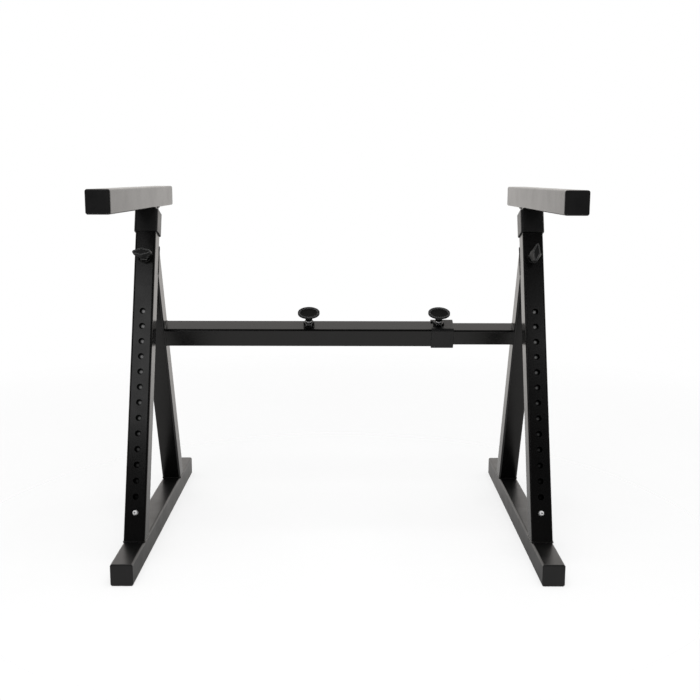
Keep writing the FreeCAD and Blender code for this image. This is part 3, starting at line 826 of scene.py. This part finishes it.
# Snap buttons and their springs
FLANGE_RADIUS = 0.0065
FLANGE_HEIGHT = 0.0015
BUTTON_RADIUS = 0.0039
BUTTON_DOME = 0.003
DOME_STEPS = 8
DIMPLE_RADIUS = 0.0014
DIMPLE_END = 0.00126
DIMPLE_DEPTH = 0.006


def button_line(side):
    """The point on a snap button's axis that lies in the plane of X and the post through the origin."""
    up = axis_of(f"{side}_height_slide")
    button = f"{side}_snap_button"
    return X_AXIS * middle(button, X_AXIS) + up * middle(button, up)


def button_profile(length):
    """Radius and height of a flanged pin with a domed tip and a drilled dimple."""
    profile = [
        (FLANGE_RADIUS, 0.0),
        (FLANGE_RADIUS, FLANGE_HEIGHT),
        (BUTTON_RADIUS, FLANGE_HEIGHT),
    ]
    rim = math.acos(DIMPLE_RADIUS / BUTTON_RADIUS)
    for step in range(DOME_STEPS + 1):
        angle = rim * step / DOME_STEPS
        fall = BUTTON_DOME * (1 - math.sin(angle) / math.sin(rim))
        profile.append((BUTTON_RADIUS * math.cos(angle), length - fall))
    profile.append((DIMPLE_END, length - DIMPLE_DEPTH))
    return profile


def add_buttons(materials):
    """Domed snap buttons with a turned dimple, in place of the plain ones."""
    for side in SIDES:
        node = f"{side}_snap_button"
        out = axis_of(f"{side}_clamp_turn")
        low, high = span(node, out)
        foot = button_line(side) + out * low
        build = partial(lathe, foot=foot, axis=out, profile=button_profile(high - low))
        piece = add_piece(f"{side}_button_dome", build, f"{side}_button", "zinc", materials, sharp=True)
        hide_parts(node)


def add_springs(materials):
    """Copies of the leaf springs in spring steel, in place of the carried-over ones."""
    for side in SIDES:
        node = f"{side}_snap_spring"
        mesh = nodes[node].data.copy()
        mesh.materials.clear()
        mesh.materials.append(materials["spring_steel"])
        piece = bpy.data.objects.new(f"{side}_leaf_spring", mesh)
        piece.matrix_world = nodes[node].matrix_world
        bpy.context.scene.collection.objects.link(piece)
        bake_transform(piece)
        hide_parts(node)


# Floor, a thin film over the white below it
FLOOR_RADIUS = 2.0
FLOOR_SEGMENTS = 96
FLOOR_SOLID = 0.6
FLOOR_END = 1.8
FLOOR_FILM = 0.28
FLOOR_CLOUDS = 3.0
FLOOR_DARK = grey(0.90)
FLOOR_LIGHT = grey(0.93)


def add_floor():
    """A pale round floor that fades out with distance."""
    material = new_material("pale_floor")
    surface = shader(material)
    surface.inputs["Roughness"].default_value = 0.8
    surface.inputs["Specular IOR Level"].default_value = 0.1
    pale = mottled(material, FLOOR_CLOUDS, FLOOR_DARK, FLOOR_LIGHT, detail=3.0)
    feed(material, surface.inputs["Base Color"], pale)
    coords = add_node(material, "ShaderNodeTexCoord")
    distance = add_node(material, "ShaderNodeVectorMath", operation="LENGTH")
    feed(material, distance.inputs[0], coords.outputs["Object"])
    film = spread(material, distance.outputs["Value"], FLOOR_FILM, 0.0, FLOOR_SOLID, FLOOR_END)
    feed(material, surface.inputs["Alpha"], film)
    shape = bmesh.new()
    bmesh.ops.create_circle(shape, cap_ends=True, segments=FLOOR_SEGMENTS, radius=FLOOR_RADIUS)
    mesh = bpy.data.meshes.new("floor")
    shape.to_mesh(mesh)
    shape.free()
    mesh.materials.append(material)
    floor = bpy.data.objects.new("floor", mesh)
    bpy.context.scene.collection.objects.link(floor)


# World: levels of light, and the reaches of a direction's Y or Z over which one turns into the next
PLAIN_LEVEL = 0.5
BACK_LEVEL = 1.0
FRONT_LEVEL = 0.03
BACK_GROUND = 0.02
FRONT_GROUND = 0.45
ZENITH_SHARE = 0.35
WALL_REACH = (-0.10, 0.45)
GROUND_REACH = (-0.60, 0.60)
HORIZON_REACH = (-0.43, -0.12)
ZENITH_REACH = (0.84, 0.97)
WARM_WALL = (1.0, 0.965, 0.93, 1.0)


def ease(owner, source, reach, low, high):
    """Go smoothly from low to high over a reach."""
    return spread(owner, source, low, high, *reach, interpolation="SMOOTHSTEP")


def add_world():
    """White to the camera, plain to matte surfaces; gloss mirrors a white wall, a dim front and a floor."""
    world = bpy.data.worlds.new("studio")
    world.use_nodes = True
    bpy.context.scene.world = world
    coords = add_node(world, "ShaderNodeTexCoord")
    parts = add_node(world, "ShaderNodeSeparateXYZ")
    path = add_node(world, "ShaderNodeLightPath")
    feed(world, parts.inputs["Vector"], coords.outputs["Generated"])
    depth = parts.outputs["Y"]
    height = parts.outputs["Z"]
    glossy = path.outputs["Is Glossy Ray"]
    wall = ease(world, depth, WALL_REACH, FRONT_LEVEL, BACK_LEVEL)
    ceiling = ease(world, height, ZENITH_REACH, 1.0, ZENITH_SHARE)
    room = arithmetic(world, "MULTIPLY", wall, ceiling)
    ground = ease(world, depth, GROUND_REACH, FRONT_GROUND, BACK_GROUND)
    mirrored = ease(world, height, HORIZON_REACH, ground, room)
    level = ease(world, glossy, (0.0, 1.0), PLAIN_LEVEL, mirrored)
    seen = arithmetic(world, "MAXIMUM", path.outputs["Is Camera Ray"], path.outputs["Is Transmission Ray"])
    background = world.node_tree.nodes["Background"]
    feed(world, background.inputs["Color"], tint(world, glossy, grey(1.0), WARM_WALL))
    feed(world, background.inputs["Strength"], arithmetic(world, "MAXIMUM", level, seen))


# Lamps
LAMPS = {
    "overhead": {
        "place": (0.0, -0.2, 2.6),
        "target": (0, 0, 0),
        "size": (2.4, 1.8),
        "power": 30.0,
        "mirrored": False,
    },
    "front_top": {
        "place": (0.0, -1.9, 2.7),
        "target": (0, 0, 0.3),
        "size": (1.6, 1.0),
        "power": 34.0,
        "mirrored": False,
    },
    "left_softbox": {
        "place": (-0.75, -1.75, 1.31),
        "target": (-0.75, 0, 1.31),
        "size": (0.55, 0.68),
        "power": 1.40,
        "mirrored": True,
    },
    "right_softbox": {
        "place": (0.93, -1.75, 1.36),
        "target": (0.93, 0, 1.36),
        "size": (0.40, 0.34),
        "power": 0.42,
        "mirrored": True,
    },
}


def add_lights():
    """Two large soft lamps from above, and two small softboxes that show in the uprights."""
    for name, lamp in LAMPS.items():
        data = bpy.data.lights.new(name, "AREA")
        data.shape = "RECTANGLE"
        data.size, data.size_y = lamp["size"]
        data.energy = lamp["power"]
        light = bpy.data.objects.new(name, data)
        light.location = lamp["place"]
        aim = Vector(lamp["target"]) - Vector(lamp["place"])
        light.rotation_euler = aim.to_track_quat("-Z", "Y").to_euler()
        light.visible_camera = False
        light.visible_glossy = lamp["mirrored"]
        bpy.context.scene.collection.objects.link(light)


def main():
    """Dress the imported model, add its finer pieces, and set the stage round it."""
    add_camera()
    materials = make_materials()
    dress_frame(materials)
    add_frame_welds(materials)
    add_arm_welds(materials)
    add_nut_welds(materials)
    add_screws(materials)
    add_knobs(materials)
    add_buttons(materials)
    add_springs(materials)
    add_floor()
    add_world()
    add_lights()
    bpy.context.scene.view_settings.view_transform = "Standard"


main()
